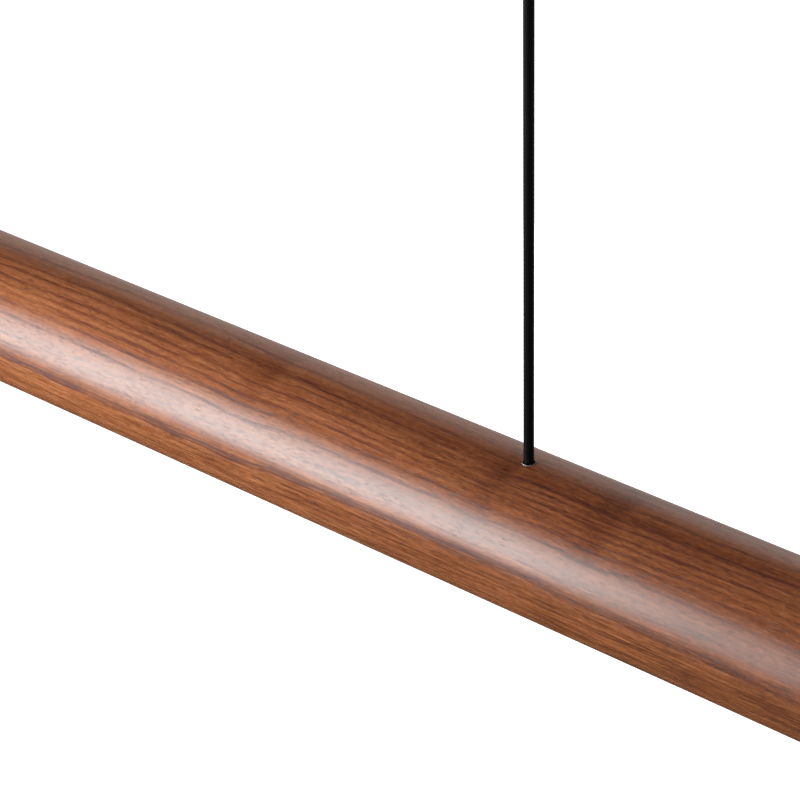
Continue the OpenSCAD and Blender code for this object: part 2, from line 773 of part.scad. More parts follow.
module ceiling_strap(side) {
    color(STEEL) at_cord(side) difference() {
        union() {
            along_x(strap_w) strap_section();
            translate([0, -wing_w / 2, strap_under]) cube([strap_w / 2 + wing_l, wing_w, strap_t]);
        }
        for (y = SIDES) translate([0, y * screw_gap / 2, -strap_t - EPS])
            cylinder(d = screw_hole_d, h = strap_t + 2 * EPS);
        translate([0, 0, strap_under - EPS]) cylinder(d = nipple_d + 2 * seat_gap, h = strap_t + 2 * EPS);
        translate([0, 0, -side_screw_drop]) rotate([90, 0, 0])
            cylinder(d = m3_d + 2 * seat_gap, h = canopy_d, center = true);
        translate([strap_w / 2 + wing_l / 2, 0, strap_under - EPS])
            cylinder(d = peg_d + 2 * seat_gap, h = strap_t + 2 * EPS);
    }
}

module canopy(side) {
    color(BLACK) at_cord(side) difference() {
        rotate_extrude() difference() {
            round_edge_half(canopy_r, canopy_h, canopy_edge_r);
            translate([0, EPS])
                round_edge_half(canopy_r - canopy_wall, canopy_h - canopy_wall + EPS,
                                canopy_edge_r - canopy_wall);
        }
        translate([0, 0, -canopy_h - EPS]) cylinder(d = nipple_d + 2 * fit_gap, h = canopy_wall + 2 * EPS);
        translate([0, 0, -side_screw_drop]) rotate([90, 0, 0])
            cylinder(d = m3_d + 2 * seat_gap, h = canopy_d + 2 * EPS, center = true);
    }
}

module canopy_screws() {
    reach = canopy_r - tab_out + strap_t + 1;
    color(BLACK) for (side = SIDES, y = SIDES) at_cord(side)
        translate([0, y * canopy_r, -side_screw_drop]) rotate([-y * 90, 0, 0])
            pan_screw(m3_d, m3_head_d, m3_head_h, reach);
}

module ceiling_terminal() {
    color(WHITE) at_cord(RIGHT) translate([strap_w / 2 + wing_l / 2, 0, -plate_drop]) terminal_block();
}

module ceiling_wires() {
    color(LEAD_BROWN) at_cord(RIGHT) {
        lead_tube(CEILING_WIRE, lead_d);
        lead_tube(mirrored(CEILING_WIRE), lead_d);
    }
}

wood_tube();
end_cap(LEFT);  // end_cap_left
end_cap(RIGHT);  // end_cap_right
end_cap_screws();
carrier_rail();
lens();
led_board(LEFT);  // led_board_left
led_board(RIGHT);  // led_board_right
led_chips();
board_screws();
board_link();
led_driver();
driver_screws();
lower_terminal();
supply_leads();
led_leads();
saddle(LEFT);  // saddle_left
saddle(RIGHT);  // saddle_right
saddle_screws();
ferrule(LEFT);  // ferrule_left
ferrule(RIGHT);  // ferrule_right
ferrule_nuts();
cord_clamp(LEFT);  // cord_clamp_left
cord_clamp(RIGHT);  // cord_clamp_right
clamp_screws();
cord_tail(LEFT);  // cord_tail_left
cord_tail(RIGHT);  // cord_tail_right
cord(LEFT);  // cord_left
cord(RIGHT);  // cord_right
swivel_outlet(LEFT);  // swivel_outlet_left
swivel_outlet(RIGHT);  // swivel_outlet_right
socket_cap(LEFT);  // socket_cap_left
socket_cap(RIGHT);  // socket_cap_right
nipple(LEFT);  // nipple_left
nipple(RIGHT);  // nipple_right
nipple_nuts();
cord_stop(LEFT);  // cord_stop_left
cord_stop(RIGHT);  // cord_stop_right
stop_screws();
cord_end(LEFT);  // cord_end_left
cord_end(RIGHT);  // cord_end_right
ceiling_strap(LEFT);  // ceiling_strap_left
ceiling_strap(RIGHT);  // ceiling_strap_right
canopy(LEFT);  // canopy_left
canopy(RIGHT);  // canopy_right
canopy_screws();
ceiling_terminal();
ceiling_wires();
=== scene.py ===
# Linear pendant lamp: a walnut tube on two taut black cords, with its ceiling fittings.
import json
import math

import bmesh
import bpy
import numpy as np
from mathutils import Matrix, Vector

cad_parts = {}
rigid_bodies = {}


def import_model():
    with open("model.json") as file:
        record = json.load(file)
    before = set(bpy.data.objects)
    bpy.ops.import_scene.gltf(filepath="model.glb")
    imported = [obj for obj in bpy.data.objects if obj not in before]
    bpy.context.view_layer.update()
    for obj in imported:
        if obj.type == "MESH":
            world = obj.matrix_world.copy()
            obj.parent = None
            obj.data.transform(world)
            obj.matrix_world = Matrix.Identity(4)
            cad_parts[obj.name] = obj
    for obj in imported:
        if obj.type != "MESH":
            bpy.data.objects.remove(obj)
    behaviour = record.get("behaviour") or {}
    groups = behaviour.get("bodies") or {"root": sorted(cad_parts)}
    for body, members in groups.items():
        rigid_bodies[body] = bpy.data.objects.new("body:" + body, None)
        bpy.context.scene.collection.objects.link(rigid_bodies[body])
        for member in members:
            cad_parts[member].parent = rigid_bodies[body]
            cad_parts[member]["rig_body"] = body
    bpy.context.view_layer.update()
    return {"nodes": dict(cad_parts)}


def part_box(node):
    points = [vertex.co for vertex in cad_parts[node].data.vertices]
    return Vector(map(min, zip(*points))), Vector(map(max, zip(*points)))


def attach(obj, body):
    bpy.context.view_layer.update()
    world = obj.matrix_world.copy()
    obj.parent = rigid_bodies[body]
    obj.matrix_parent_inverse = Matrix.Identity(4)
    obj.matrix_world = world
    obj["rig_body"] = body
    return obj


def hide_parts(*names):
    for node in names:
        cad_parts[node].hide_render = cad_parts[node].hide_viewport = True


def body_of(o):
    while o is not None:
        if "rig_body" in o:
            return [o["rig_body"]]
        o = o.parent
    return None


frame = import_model()
NODES = frame["nodes"]
SLOTS = {name: node.data.materials[0].name.split(".")[0] for name, node in NODES.items()}
LOOKS = {**SLOTS, "end_cap_left": "end_grain", "end_cap_right": "end_grain"}
scene = bpy.context.scene
scene.view_settings.view_transform = "Standard"

# Sizes of the part, in metres
MM = 0.001
SIDES = {"left": -1, "right": 1}
tube_low, tube_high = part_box("wood_tube")
cord_low, cord_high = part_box("cord_right")
ferrule_low, ferrule_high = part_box("ferrule_right")
AXIS_Z = (tube_low.z + tube_high.z) / 2
TUBE_R = (tube_high.z - tube_low.z) / 2
TUBE_LEN = tube_high.x - tube_low.x
TUBE_WALL = 5 * MM
BORE_R = TUBE_R - TUBE_WALL
CORD_X = (cord_low.x + cord_high.x) / 2
CORD_D = cord_high.x - cord_low.x
CORD_TOP = cord_high.z - CORD_D / 2
CORD_FOOT = cord_low.z + CORD_D / 2
FERRULE_R = (ferrule_high.x - ferrule_low.x) / 2


# Shaders

def linear(r, g, b):
    """A colour written as it looks on a screen, 0 to 255, as linear light."""
    parts = []
    for value in (r, g, b):
        v = value / 255
        parts.append(v / 12.92 if v <= 0.04045 else ((v + 0.055) / 1.055) ** 2.4)
    return (*parts, 1.0)


class Shader:
    """The node tree of a material, lamp or world, with short calls for the nodes in use here."""

    def __init__(self, owner, out="ShaderNodeOutputMaterial"):
        owner.use_nodes = True
        self.owner = owner
        self.tree = owner.node_tree
        self.tree.nodes.clear()
        self.out = self.tree.nodes.new(out)

    def put(self, socket, value):
        if isinstance(value, bpy.types.NodeSocket):
            self.tree.links.new(value, socket)
        else:
            socket.default_value = value

    def add(self, kind, inputs=None, **settings):
        n = self.tree.nodes.new(kind)
        for key, value in settings.items():
            setattr(n, key, value)
        for key, value in (inputs or {}).items():
            self.put(n.inputs[key], value)
        return n

    def coords(self):
        return self.add("ShaderNodeTexCoord").outputs["Object"]

    def split(self, vector):
        return self.add("ShaderNodeSeparateXYZ", {0: vector}).outputs

    def stretch(self, vector, scale, move=(0, 0, 0)):
        n = self.add("ShaderNodeMapping", {"Vector": vector, "Scale": scale, "Location": move})
        return n.outputs[0]

    def math(self, operation, a, b=0.0, c=0.0, clamp=False):
        n = self.add("ShaderNodeMath", {0: a, 1: b, 2: c}, operation=operation, use_clamp=clamp)
        return n.outputs[0]

    def noise(self, vector, scale, detail=2.0, rough=0.5):
        inputs = {"Vector": vector, "Scale": scale, "Detail": detail, "Roughness": rough}
        return self.add("ShaderNodeTexNoise", inputs).outputs[0]

    def fibres(self, vector, rate, move=(0, 0, 0), detail=2.0, rough=0.5):
        """Noise that changes this often in a metre along the tube and across it."""
        along, across = rate
        return self.noise(self.stretch(vector, (along, across, across), move), 1.0, detail, rough)

    def range(self, value, low, high, to_low=0.0, to_high=1.0):
        inputs = {0: value, 1: low, 2: high, 3: to_low, 4: to_high}
        return self.add("ShaderNodeMapRange", inputs, interpolation_type="SMOOTHSTEP").outputs[0]

    def ramp(self, value, stops):
        n = self.add("ShaderNodeValToRGB", {0: value})
        elements = n.color_ramp.elements
        while len(elements) < len(stops):
            elements.new(0.5)
        for element, (place, colour) in zip(elements, stops):
            element.position = place
            element.color = colour
        return n.outputs[0]

    def mix(self, factor, a, b):
        n = self.add("ShaderNodeMix", data_type="RGBA")
        for number, value in ((0, factor), (6, a), (7, b)):
            self.put(n.inputs[number], value)
        return n.outputs[2]

    def blend(self, factor, a, b):
        return self.add("ShaderNodeMixShader", {0: factor, 1: a, 2: b}).outputs[0]

    def glow(self, strength, kind="ShaderNodeEmission"):
        return self.add(kind, {"Color": (1, 1, 1, 1), "Strength": strength}).outputs[0]

    def bump(self, height, distance, strength):
        inputs = {"Height": height, "Distance": distance, "Strength": strength}
        return self.add("ShaderNodeBump", inputs).outputs[0]

    def show(self, shader):
        self.put(self.out.inputs[0], shader)
        return self.owner

    def finish(self, **inputs):
        named = {key.replace("_", " "): value for key, value in inputs.items()}
        return self.show(self.add("ShaderNodeBsdfPrincipled", named).outputs[0])


def new_finish(name):
    return Shader(bpy.data.materials.new(name))


# Most of a noise lies between these two, about this mean
NOISE_SPAN = (0.3, 0.7)
NOISE_MEAN = 0.5
# Share of the finest noise in a shade, and how often the broad one changes in a metre
FINE_SHARE = 0.6
CLOUD_RATE = 25.0


# Walnut

# Dark veins, and wide bands of tone and painted shade round the tube: degrees from the crown,
# positive to the front, half width in degrees, depth left of the cord and right of it
VEINS = [
    (-140, 6.0, 0.20, 0.20), (-124, 3.0, 0.24, 0.24), (-98, 3.0, 0.22, 0.22),
    (-66, 5.0, 0.26, 0.26), (-38, 2.6, 0.20, 0.20), (-7.4, 3.0, 0.18, 0.18),
    (8.0, 2.4, 0.20, 0.20), (15.2, 2.0, 0.19, 0.19), (24.6, 2.4, 0.26, 0.20),
    (30.8, 1.8, 0.18, 0.12), (37.2, 2.0, 0.27, 0.18), (44.6, 2.1, 0.27, 0.18),
    (55.2, 2.2, 0.35, 0.24), (70.5, 0.9, 0.12, 0.08), (78.8, 1.1, 0.20, 0.14),
    (86.6, 1.4, 0.22, 0.10), (89.6, 1.7, 0.74, 0.24), (92.8, 1.4, 0.64, 0.26),
    (112, 1.6, 0.14, 0.12), (131, 2.4, 0.16, 0.16),
]
# Bands, lighter where the depth is negative: darker at the crown; lighter from 16 to 50 degrees; at
# 69 degrees a darker band where the key lamp's highlight falls, painted so that the highlight reads
# less pink, not the wood's own tone; at 106 degrees painted shade low on the front, deeper to the
# right, away from the key lamp
BELTS_AND_SHADE = [
    (4, 9, 0.12, 0.14), (33, 17, -0.13, -0.06), (69, 22, 0.26, 0.10),
    (75, 8, 0.00, 0.09), (90, 7, 0.04, 0.08), (106, 32, 0.07, 0.13),
]
# Where along the tube the left depths and the left tone give way to the right ones
TURN_AT = (0.30, 0.46)
# The tone left and right: darker to the right, partly the wood itself and partly painted shade away
# from the key lamp
TONE_AT = (0.24, 0.46)
TONE_AND_SHADE = (0.56, 0.44)
# The veins draw together towards this one, and open again, over this length of tube
VEIN_CENTRE = math.radians(48)
VEIN_SQUEEZE = 0.125
VEIN_WAVE = 0.6
VEIN_WAVE_AT = 0.285
# How the veins wander: how often along and across in a metre, and degrees to each side
VEIN_DRIFT = [((6, 12), 4.0), ((40, 90), 1.6), ((45, 1300), 2.2)]
# How often and how far the veins fade and deepen, and how much they darken, tint and dull the wood
VEIN_BREAK_RATE = (22, 45)
VEIN_BREAK = (0.5, 1.3)
VEIN_DARK = 0.8
VEIN_TINT = 1.3
VEIN_DULL = 0.25
# Where the fibres dip and a darker bar crosses the grain: along the tube, degrees from the crown
CURLS = [(-0.47, 128), (-0.13, -64), (0.236, 18), (0.392, 26), (0.458, 16)]
CURL_SPREAD = (math.radians(22), math.radians(64))
CURL_REACH = 28 * MM
CURL_DIP = math.radians(2.6)
# A bar's ragged edge, where it starts, is darkest and ends, and how dark it is
CURL_RAGGED = 14 * MM
CURL_RAGGED_RATE = (30, 70)
CURL_BAR = (-22 * MM, 3 * MM, 10 * MM)
CURL_DARK = 0.13
# Grain from broad to fine: how often it changes along and across in a metre, its share of the tone
# and what is added to that share low on the front
GRAIN = [
    ((4, 55), 0.34, 0.0), ((10, 360), 0.32, 0.0), ((30, 850), 0.38, 1.05),
    ((260, 1000), 0.66, 0.0), ((90, 1600), 0.50, 0.0),
]
GRAIN_DETAIL = 3.0
GRAIN_ROUGH = 0.55
# How much the finest grain dulls the lacquer, and its height beside the depth of a pore
GRAIN_DULL = 0.06
GRAIN_RELIEF = 0.3
# Low on the front: the angles between which it comes in and goes out, and how tan it is
LOW_START = (math.radians(74), math.radians(92))
LOW_END = (math.radians(130), math.radians(160))
LOW_TAN = 0.10
# Thin dark lines
LINE_RATE = (24, 900)
LINE_SPAN = (0.52, 0.70)
LINE_DARK = 0.18
# Open pores, fewer in some patches, and how much they darken and dull the wood
PORE_RATE = (190, 2300)
PORE_PATCH_RATE = (14, 90)
PORE_PATCH_SPAN = (0.35, 0.7)
PORE_LEVEL = (0.65, 0.56)
PORE_EDGE = 12.0
PORE_DARK = 0.62
PORE_DULL = 0.07
WOOD = [
    (0.00, linear(80, 42, 30)), (0.20, linear(110, 57, 31)), (0.42, linear(139, 79, 45)),
    (0.62, linear(160, 97, 60)), (0.82, linear(180, 117, 78)), (1.00, linear(196, 138, 98)),
]
TAN = linear(152, 112, 66)
PORE = linear(62, 32, 22)
VEIN = linear(86, 49, 46)
LACQUER_IOR = 1.55
LACQUER_ROUGH = 0.23
WOOD_RELIEF = 0.045 * MM
WOOD_BUMP = 0.5


def wood_curls(s, place, x, angle):
    """How near the closest dip of the fibres is, and how dark its bar is, both 0 to 1."""
    uneven = s.fibres(place, CURL_RAGGED_RATE, (2, 0, 0))
    along = s.math("MULTIPLY_ADD", uneven, CURL_RAGGED, x)
    start, darkest, end = CURL_BAR
    near, bar = 0.0, 0.0
    for centre, degrees in CURLS:
        off = s.math("SUBTRACT", along, centre + CURL_RAGGED / 2)
        close = s.range(s.math("ABSOLUTE", off), 0.0, CURL_REACH, 1.0, 0.0)
        rise = s.range(off, start, darkest)
        fall = s.range(off, darkest, end, 1.0, 0.0)
        aside = s.math("ABSOLUTE", s.math("SUBTRACT", angle, math.radians(degrees)))
        beside = s.range(aside, *CURL_SPREAD, 1.0, 0.0)
        near = s.math("ADD", close, near)
        bar = s.math("MULTIPLY_ADD", s.math("MULTIPLY", rise, fall), beside, bar)
    return near, bar


def wood_angle(s, place, x, angle, dip):
    """The angle at which the veins are read, which leans, dips and wanders along the tube."""
    phase = s.math("MULTIPLY", s.math("SUBTRACT", x, VEIN_WAVE_AT), 2 * math.pi / VEIN_WAVE)
    lean = s.math("MULTIPLY_ADD", s.math("SINE", phase), VEIN_SQUEEZE, 1 + VEIN_SQUEEZE)
    at = s.math("MULTIPLY_ADD", s.math("SUBTRACT", angle, VEIN_CENTRE), lean, VEIN_CENTRE)
    at = s.math("MULTIPLY_ADD", dip, -CURL_DIP, at)
    for rate, reach in VEIN_DRIFT:
        drift = s.math("SUBTRACT", s.fibres(place, rate), NOISE_MEAN)
        at = s.math("MULTIPLY_ADD", drift, math.radians(2 * reach), at)
    return at


def wood_stripes(s, x, at, stripes):
    """The darkness of veins, or of bands of tone and painted shade, at a place along the tube and
    an angle.
    """
    total = 0.0
    for degrees, half_width, left, right in stripes:
        off = s.math("ABSOLUTE", s.math("SUBTRACT", at, math.radians(degrees)))
        near = s.range(off, 0.0, math.radians(half_width), 1.0, 0.0)
        total = s.math("MULTIPLY_ADD", near, s.range(x, *TURN_AT, left, right), total)
    return total


def wood_pores(s, place):
    """Short dark vessels that lie along the grain, 1 in a vessel and 0 elsewhere."""
    cells = s.fibres(place, PORE_RATE, (0, 3, 0), 1.0)
    patches = s.fibres(place, PORE_PATCH_RATE, (4, 0, 0))
    level = s.range(patches, *PORE_PATCH_SPAN, *PORE_LEVEL)
    return s.math("MULTIPLY", s.math("SUBTRACT", cells, level), PORE_EDGE, clamp=True)


def walnut(name):
    """Lacquered walnut along the grain: veins, curls, fine grain and open pores, with painted shade
    in its tone.
    """
    s = new_finish(name)
    place = s.coords()
    x, y, z = s.split(place)
    angle = s.math("ARCTAN2", s.math("MULTIPLY", y, -1.0), s.math("SUBTRACT", z, AXIS_Z))
    dip, bar = wood_curls(s, place, x, angle)
    at = wood_angle(s, place, x, angle, dip)
    depth = s.range(s.fibres(place, VEIN_BREAK_RATE, (1, 0, 0)), *NOISE_SPAN, *VEIN_BREAK)
    veins = s.math("MULTIPLY", wood_stripes(s, x, at, VEINS), depth)
    belts_and_shade = wood_stripes(s, x, at, BELTS_AND_SHADE)
    low = s.math("MULTIPLY", s.range(angle, *LOW_START), s.range(angle, *LOW_END, 1.0, 0.0))
    # Tone darker to the right: partly the wood, partly painted shade
    tone = s.range(x, *TONE_AT, *TONE_AND_SHADE)
    # After this loop, grain is the finest one
    for number, (rate, share, more) in enumerate(GRAIN):
        grain = s.fibres(place, rate, (number, 0, 0), GRAIN_DETAIL, GRAIN_ROUGH)
        share = s.math("MULTIPLY_ADD", low, more, share)
        tone = s.math("MULTIPLY_ADD", s.math("SUBTRACT", grain, NOISE_MEAN), share, tone)
    # Veins and bands darken the wood; the bands hold painted shade and a painted darker band under
    # the highlight
    tone = s.math("SUBTRACT", tone, s.math("MULTIPLY_ADD", veins, VEIN_DARK, belts_and_shade))
    tone = s.math("MULTIPLY_ADD", bar, -CURL_DARK, tone)
    lines = s.fibres(place, LINE_RATE, (7, 0, 0))
    tone = s.math("SUBTRACT", tone, s.range(lines, *LINE_SPAN, 0.0, LINE_DARK))
    pores = wood_pores(s, place)
    colour = s.mix(s.math("MULTIPLY", low, LOW_TAN), s.ramp(tone, WOOD), TAN)
    colour = s.mix(s.math("MULTIPLY", veins, VEIN_TINT, clamp=True), colour, VEIN)
    colour = s.mix(s.math("MULTIPLY", pores, PORE_DARK), colour, PORE)
    rough = s.math("MULTIPLY_ADD", grain, GRAIN_DULL, LACQUER_ROUGH)
    rough = s.math("MULTIPLY_ADD", veins, VEIN_DULL, rough)
    rough = s.math("MULTIPLY_ADD", pores, PORE_DULL, rough)
    relief = s.math("SUBTRACT", s.math("MULTIPLY", grain, GRAIN_RELIEF), pores)
    normal = s.bump(relief, WOOD_RELIEF, WOOD_BUMP)
    return s.finish(Base_Color=colour, Roughness=rough, Normal=normal, IOR=LACQUER_IOR)


# End grain: the heart of the tree below the cap, its rings, how they bend and drift, and the rays
HEART_Z = AXIS_Z - 55 * MM
RING_WIDTH = 6.5 * MM
RING_BEND = (12 * MM, 8 * MM)
RING_BEND_RATE = (4, 40)
RING_DRIFT = 1.6
RING_DRIFT_RATE = (4, 110)
RAY_ROUND = 160.0
RAY_OUT = 60.0
# Where in a ring its pale part comes in and goes out
RING_IN = (0.0, 0.15)
RING_OUT = (0.2, 1.0)
# The tone to start from, and what rings, pores and rays add to it
END_TONE = -0.06
RING_SHARE = 0.24
END_PORE_RATE = (60, 1500)
END_PORE_SHARE = 0.45
RAY_SHARE = 0.16
END_ROUGH = 0.26
END_RELIEF = 0.08 * MM
END_BUMP = 0.4


def end_grain(name):
    """Walnut cut across: rings off the centre, rays and pores."""
    s = new_finish(name)
    place = s.coords()
    x, y, z = s.split(place)
    bend = s.fibres(place, RING_BEND_RATE, detail=GRAIN_DETAIL)
    aside, rise = RING_BEND
    across = s.math("MULTIPLY_ADD", bend, aside, y)
    up = s.math("MULTIPLY_ADD", bend, rise, s.math("SUBTRACT", z, HEART_Z))
    distance = s.math("SQRT", s.math("MULTIPLY_ADD", across, across, s.math("MULTIPLY", up, up)))
    drift = s.fibres(place, RING_DRIFT_RATE, (5, 0, 0), GRAIN_DETAIL)
    count = s.math("MULTIPLY_ADD", drift, RING_DRIFT, s.math("DIVIDE", distance, RING_WIDTH))
    ring = s.math("FRACT", count)
    early = s.math("MULTIPLY", s.range(ring, *RING_IN), s.range(ring, *RING_OUT, 1.0, 0.0))
    fan = s.math("MULTIPLY", s.math("ARCTAN2", across, up), RAY_ROUND)
    out = s.math("MULTIPLY", distance, RAY_OUT)
    rays = s.noise(s.add("ShaderNodeCombineXYZ", {0: fan, 1: out}).outputs[0], 1.0)
    pores = s.fibres(place, END_PORE_RATE)
    tone = s.math("MULTIPLY_ADD", early, RING_SHARE, END_TONE)
    tone = s.math("MULTIPLY_ADD", pores, END_PORE_SHARE, tone)
    tone = s.math("MULTIPLY_ADD", rays, RAY_SHARE, tone)
    normal = s.bump(pores, END_RELIEF, END_BUMP)
    return s.finish(Base_Color=s.ramp(tone, WOOD), Roughness=END_ROUGH, Normal=normal,
                    IOR=LACQUER_IOR)


# Other finishes

# Speckled finishes: the smoothest and the dullest as shares of the roughness, and the bump
SPECKLE_GLOSS = (0.85, 1.15)
SPECKLE_BUMP = 0.6
# Brushed metal: its darkest and lightest lines, its smoothest and dullest, and the bump
BRUSH_SHADES = (0.88, 1.08)
BRUSH_GLOSS = (0.8, 1.25)
BRUSH_DEPTH = 0.01 * MM
BRUSH_BUMP = 0.4
# Textile: how often fibres and worn places change in a metre, its two blacks, and the bump
FIBRE_RATE = (5000, 5000, 2500)
WORN_RATE = (300, 300, 60)
TEXTILE_BLACKS = (linear(3, 3, 3), linear(10, 10, 10))
FIBRE_DEPTH = 0.03 * MM
FIBRE_BUMP = 0.6


def shades(colour, darker, lighter):
    """Two stops of a ramp: a colour made darker and lighter by these factors."""
    low = tuple(c * darker for c in colour[:3]) + (1.0,)
    high = tuple(min(1.0, c * lighter) for c in colour[:3]) + (1.0,)
    return list(zip(NOISE_SPAN, (low, high)))


def speckled(name, colour, spread, size, rough, depth, **more):
    """A finish whose lightness, gloss and surface vary with a fine grain."""
    s = new_finish(name)
    place = s.coords()
    grain = s.noise(place, 1 / size)
    cloud = s.noise(place, CLOUD_RATE, detail=3.0)
    shade = s.math("MULTIPLY_ADD", grain, FINE_SHARE, s.math("MULTIPLY", cloud, 1 - FINE_SHARE))
    tint = s.ramp(shade, shades(colour, 1 - spread, 1 + spread))
    smoothest, dullest = SPECKLE_GLOSS
    gloss = s.range(shade, *NOISE_SPAN, rough * smoothest, rough * dullest)
    normal = s.bump(grain, depth, SPECKLE_BUMP)
    return s.finish(Base_Color=tint, Roughness=gloss, Normal=normal, **more)


def brushed(name, colour, stretch, rough, depth=BRUSH_DEPTH):
    """Metal with fine lines along one axis, or turned lines where stretch is equal in X and Y."""
    s = new_finish(name)
    lines = s.noise(s.stretch(s.coords(), stretch), 1.0, detail=3.0, rough=0.6)
    tint = s.ramp(lines, shades(colour, *BRUSH_SHADES))
    smoothest, dullest = BRUSH_GLOSS
    gloss = s.range(lines, *NOISE_SPAN, rough * smoothest, rough * dullest)
    normal = s.bump(lines, depth, BRUSH_BUMP)
    return s.finish(Base_Color=tint, Roughness=gloss, Normal=normal, Metallic=1.0)


def textile(name):
    """Black woven cover: fibres across the strands, a little worn here and there."""
    s = new_finish(name)
    place = s.coords()
    fibre = s.noise(s.stretch(place, FIBRE_RATE), 1.0, rough=0.6)
    worn = s.noise(s.stretch(place, WORN_RATE), 1.0)
    shade = s.math("MULTIPLY_ADD", fibre, FINE_SHARE, s.math("MULTIPLY", worn, 1 - FINE_SHARE))
    tint = s.ramp(shade, list(zip(NOISE_SPAN, TEXTILE_BLACKS)))
    normal = s.bump(fibre, FIBRE_DEPTH, FIBRE_BUMP)
    return s.finish(Base_Color=tint, Roughness=0.5, Normal=normal, Specular_IOR_Level=0.07,
                    Sheen_Weight=0.01, Sheen_Roughness=0.4)


# Speckled: colour, spread of its lightness, size of the grain, roughness, depth of the grain.
# Brushed: colour, lines in a metre along X, Y and Z, roughness, depth of the lines
FINISH = {
    "walnut": walnut("walnut_lacquered"),
    "end_grain": end_grain("walnut_end_grain"),
    "cord_textile": textile("cord_textile_black"),
    "nickel": brushed("nickel_turned", linear(180, 166, 160), (500, 500, 2500), 0.56, 0.003 * MM),
    "black_coat": speckled("black_powder_coat", linear(24, 24, 25), 0.25, 0.5 * MM, 0.5, 0.06 * MM),
    "black_plastic": speckled("black_moulded", linear(18, 18, 19), 0.2, 0.35 * MM, 0.42, 0.02 * MM),
    "zinc_steel": brushed("zinc_steel", linear(190, 192, 196), (900, 90, 900), 0.34),
    "black_screw": speckled("black_oxide", linear(30, 29, 29), 0.25, 0.3 * MM, 0.36, 0.01 * MM,
                            Metallic=0.7),
    "rail_aluminium": brushed("extruded_aluminium", linear(205, 207, 210), (20, 1600, 1600), 0.36),
    "brass_turned": brushed("turned_brass", linear(206, 172, 104), (700, 700, 5000), 0.28),
    "opal": speckled("opal_diffuser", linear(240, 239, 234), 0.02, 0.8 * MM, 0.4, 0.01 * MM,
                     Subsurface_Weight=0.25, Subsurface_Radius=(0.004, 0.004, 0.004)),
    "board_white": speckled("board_solder_mask", linear(232, 232, 230), 0.04, 1.5 * MM, 0.35,
                            0.01 * MM),
    "chip_yellow": speckled("chip_phosphor", linear(236, 206, 96), 0.08, 0.6 * MM, 0.45, 0.01 * MM),
    "case_white": speckled("case_moulded_white", linear(226, 226, 222), 0.04, 0.6 * MM, 0.42,
                           0.02 * MM),
    "lead_brown": speckled("lead_brown", linear(96, 60, 38), 0.1, 0.5 * MM, 0.4, 0.01 * MM),
    "lead_red": speckled("lead_red", linear(168, 34, 28), 0.1, 0.5 * MM, 0.4, 0.01 * MM),
}


# Pieces

def new_piece(name, mesh, node):
    """A piece that stands for a CAD node, on that node's body and in its finish."""
    piece = bpy.data.objects.new(name, mesh)
    scene.collection.objects.link(piece)
    mesh.materials.clear()
    mesh.materials.append(FINISH[LOOKS[node]])
    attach(piece, body_of(NODES[node])[0])
    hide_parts(node)
    return piece


def grid_mesh(name, *grids, closed_rows=False):
    """A smooth mesh from grids of rows, each a closed ring. End rings are capped, or joined."""
    points, faces = [], []
    for grid in grids:
        rows, count = grid.shape[:2]
        index = np.arange(rows * count).reshape(rows, count) + len(points)
        last, first = index[-1].tolist(), index[0].tolist()
        if closed_rows:
            index = np.concatenate([index, index[:1]])
        else:
            faces += [first[::-1], last]
        a, b = index[:-1], index[1:]
        faces += np.stack([a, np.roll(a, -1, 1), np.roll(b, -1, 1), b], -1).reshape(-1, 4).tolist()
        points += grid.reshape(-1, 3).tolist()
    mesh = bpy.data.meshes.new(name)
    mesh.from_pydata(points, [], faces)
    mesh.shade_smooth()
    return mesh


# Camera

CAMERA_AT = Vector((1.149, -0.9437, 0.3985))
CAMERA_YAW = math.radians(-41.4)
CAMERA_PITCH = math.radians(-29.88)
CAMERA_ROLL = math.radians(-1.48)
FOCAL_PIXELS = 2872
FRAME_PIXELS = 800
SENSOR = 36.0
CLIP_START = 0.01
CLIP_END = 100.0


def make_camera():
    data = bpy.data.cameras.new("camera")
    data.sensor_width = SENSOR
    data.lens = SENSOR * FOCAL_PIXELS / FRAME_PIXELS
    data.clip_start, data.clip_end = CLIP_START, CLIP_END
    level = math.cos(CAMERA_PITCH)
    across, ahead = math.sin(CAMERA_YAW) * level, math.cos(CAMERA_YAW) * level
    forward = Vector((across, ahead, math.sin(CAMERA_PITCH)))
    right = forward.cross(Vector((0, 0, 1))).normalized()
    up = right.cross(forward)
    turn, lift = math.cos(CAMERA_ROLL), math.sin(CAMERA_ROLL)
    axes = Matrix((turn * right + lift * up, turn * up - lift * right, -forward))
    placed = axes.transposed().to_4x4()
    placed.translation = CAMERA_AT
    camera = bpy.data.objects.new("camera", data)
    camera.matrix_world = placed
    scene.collection.objects.link(camera)
    scene.camera = camera


make_camera()


# Cords

BRAID_STRANDS = 12
BRAID_PITCH = 2.4 * MM
BRAID_RELIEF = 0.24 * MM
BRAID_PROUD = 0.16 * MM
BRAID_WAVE = 0.34
CORD_ROUND = 72
CORD_STEP = 0.34 * MM
CORD_CAP = np.radians(np.linspace(6, 84, 9))


def braid(turn, along):
    """The height, 0 to 1, of a plain braid of two strand families at an angle and a length."""
    u = turn * BRAID_STRANDS / (2 * math.pi) + along / BRAID_PITCH
    v = turn * BRAID_STRANDS / (2 * math.pi) - along / BRAID_PITCH
    heights = []
    for own, other, sign in ((u, v, 1), (v, u, -1)):
        crown = np.sqrt(np.clip(1 - (2 * (own % 1) - 1) ** 2, 0, 1))
        over = np.cos(math.pi * (other - 0.5 + np.floor(own)))
        heights.append(crown * (1 - BRAID_WAVE + BRAID_WAVE * sign * over))
    return np.maximum(*heights)


